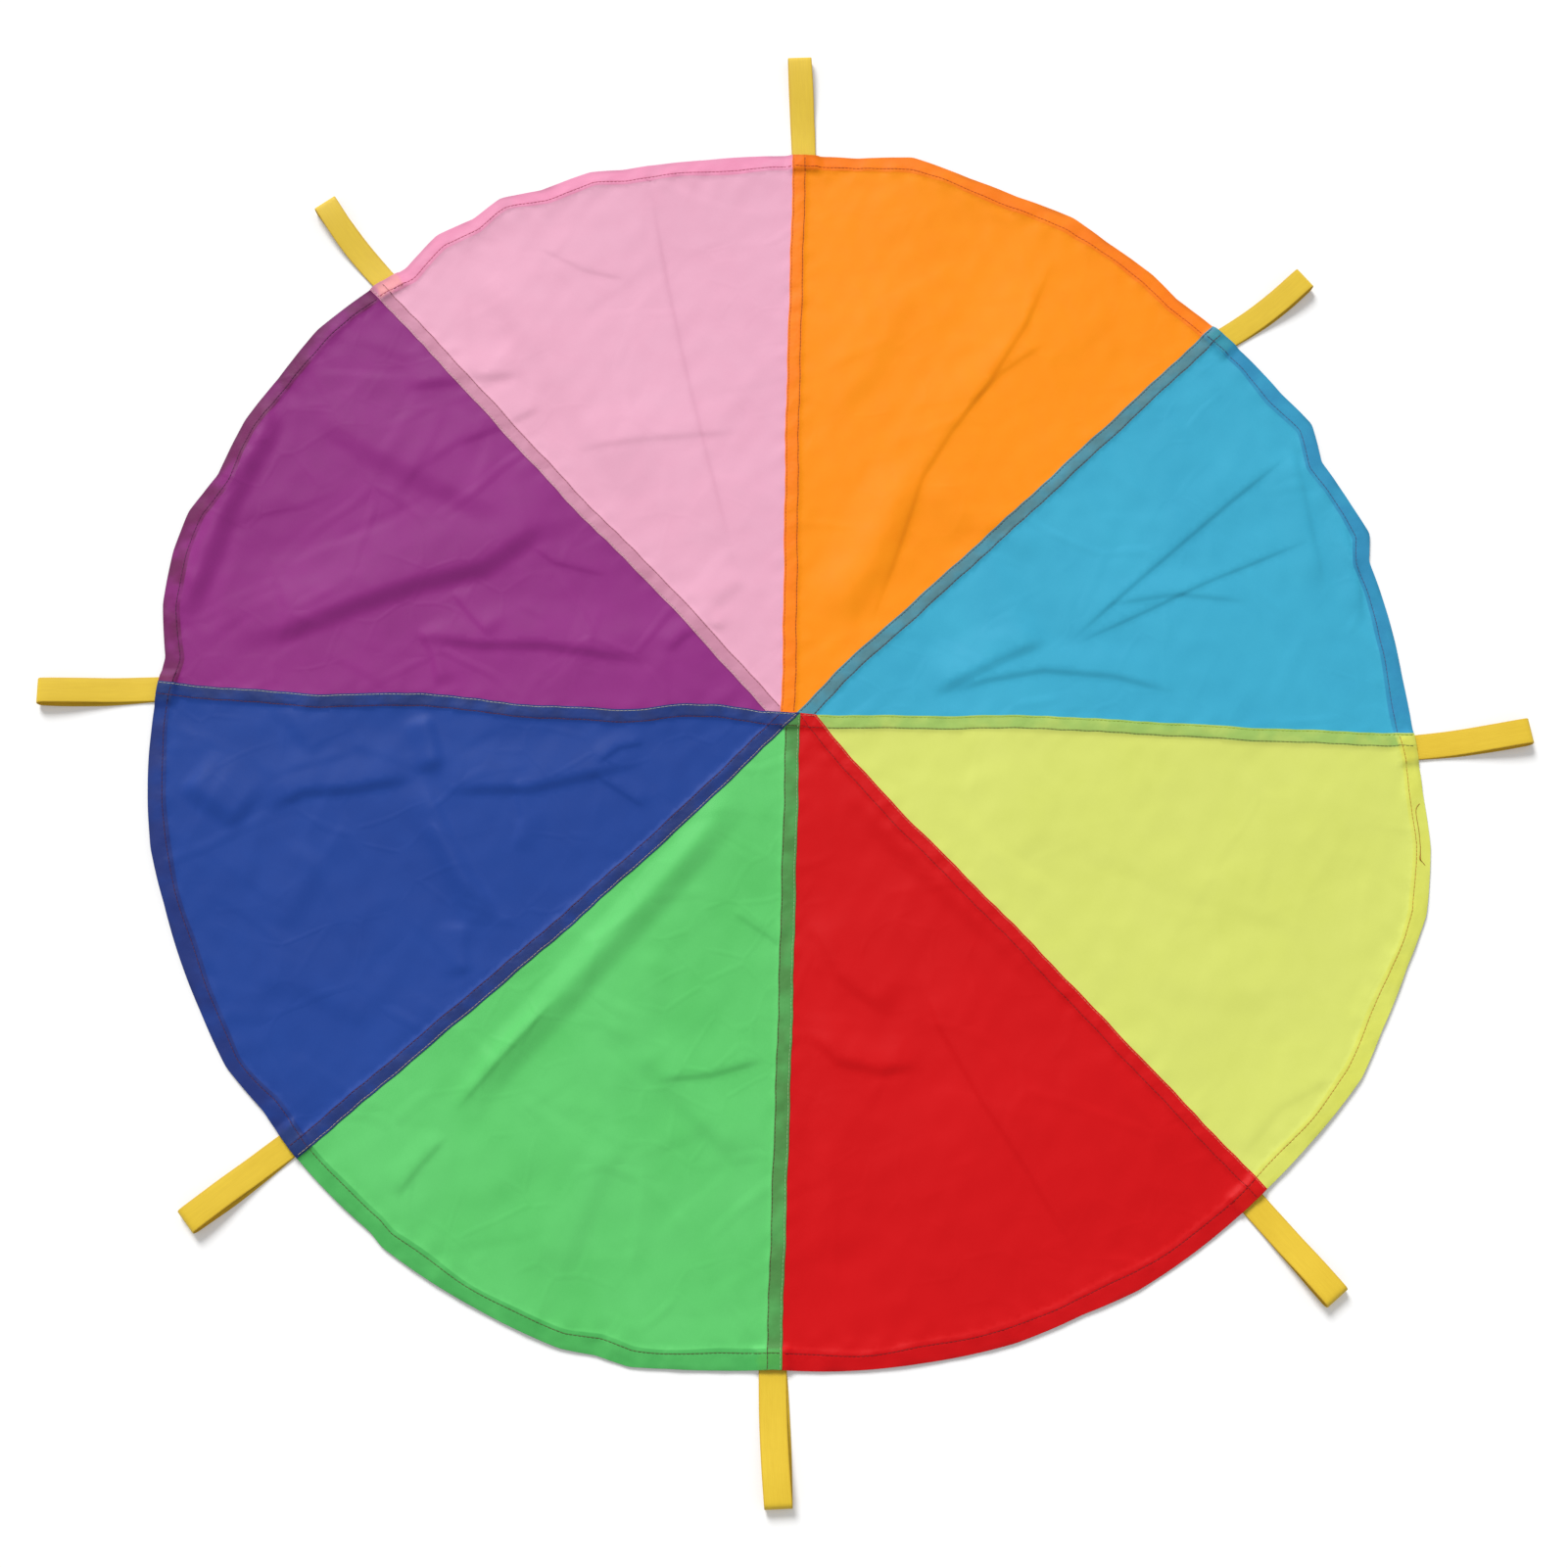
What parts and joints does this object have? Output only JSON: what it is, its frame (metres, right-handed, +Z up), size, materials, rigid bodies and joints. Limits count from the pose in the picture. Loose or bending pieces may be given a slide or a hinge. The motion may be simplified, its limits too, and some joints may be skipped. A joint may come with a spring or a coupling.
{
  "type": "play parachute",
  "caption": "Small round play parachute of coloured nylon gores felled together, with a turned hem and webbing hand loops, lying open.",
  "frame": {"origin": "centre of the canopy, where its seams meet, on the floor that it lies on", "axes": "+Z up from the floor; +X along the straight seam that joins the two half discs, towards the right loop; +Y towards the top loop"},
  "size_m": [1.1656, 1.1752, 0.0119],
  "materials": {
    "orange_nylon": "satin",
    "sky_blue_nylon": "satin",
    "yellow_nylon": "satin",
    "red_nylon": "satin",
    "green_nylon": "satin",
    "royal_blue_nylon": "satin",
    "purple_nylon": "satin",
    "pink_nylon": "satin",
    "yellow_webbing": "matte"
  },
  "bodies": {
    "lower_half": {"yellow_gore": "yellow_nylon", "red_gore": "red_nylon", "green_gore": "green_nylon", "royal_blue_gore": "royal_blue_nylon"},
    "upper_half": {"purple_gore": "purple_nylon", "pink_gore": "pink_nylon", "orange_gore": "orange_nylon", "sky_blue_gore": "sky_blue_nylon"},
    "top_handle": {"top_loop": "yellow_webbing"},
    "upper_right_handle": {"upper_right_loop": "yellow_webbing"},
    "right_handle": {"right_loop": "yellow_webbing"},
    "lower_right_handle": {"lower_right_loop": "yellow_webbing"},
    "bottom_handle": {"bottom_loop": "yellow_webbing"},
    "lower_left_handle": {"lower_left_loop": "yellow_webbing"},
    "left_handle": {"left_loop": "yellow_webbing"},
    "upper_left_handle": {"upper_left_loop": "yellow_webbing"}
  },
  "joints": [
    {"name": "half_fold", "type": "hinge", "parent": "lower_half", "child": "upper_half", "pos_m": [0, 0.006, 0.0035], "axis": [1, 0, 0], "range_deg": [0, 170]},
    {"name": "top_handle_swing", "type": "hinge", "parent": "upper_half", "child": "top_handle", "pos_m": [-0.01122, 0.49456, 0.003], "axis": [0.9997, 0.0227, 0], "range_deg": [0, 168]},
    {"name": "upper_right_handle_swing", "type": "hinge", "parent": "upper_half", "child": "upper_right_handle", "pos_m": [0.3424, 0.33883, 0.003], "axis": [0.7034, -0.7108, 0], "range_deg": [0, 168]},
    {"name": "right_handle_swing", "type": "hinge", "parent": "lower_half", "child": "right_handle", "pos_m": [0.4837, -0.00507, 0.003], "axis": [-0.0105, -0.9999, 0], "range_deg": [0, 90]},
    {"name": "lower_right_handle_swing", "type": "hinge", "parent": "lower_half", "child": "lower_right_handle", "pos_m": [0.35095, -0.35964, 0.003], "axis": [-0.7157, -0.6984, 0], "range_deg": [0, 168]},
    {"name": "bottom_handle_swing", "type": "hinge", "parent": "lower_half", "child": "bottom_handle", "pos_m": [0.00516, -0.49253, 0.003], "axis": [-0.9999, -0.0105, 0], "range_deg": [0, 168]},
    {"name": "lower_left_handle_swing", "type": "hinge", "parent": "lower_half", "child": "lower_left_handle", "pos_m": [-0.35851, -0.34863, 0.003], "axis": [-0.6972, 0.7169, 0], "range_deg": [0, 168]},
    {"name": "left_handle_swing", "type": "hinge", "parent": "lower_half", "child": "left_handle", "pos_m": [-0.49759, 0.00174, 0.003], "axis": [0.0035, 1, 0], "range_deg": [0, 90]},
    {"name": "upper_left_handle_swing", "type": "hinge", "parent": "upper_half", "child": "upper_left_handle", "pos_m": [-0.35414, 0.3629, 0.003], "axis": [0.7157, 0.6984, 0], "range_deg": [0, 168]}
  ]
}
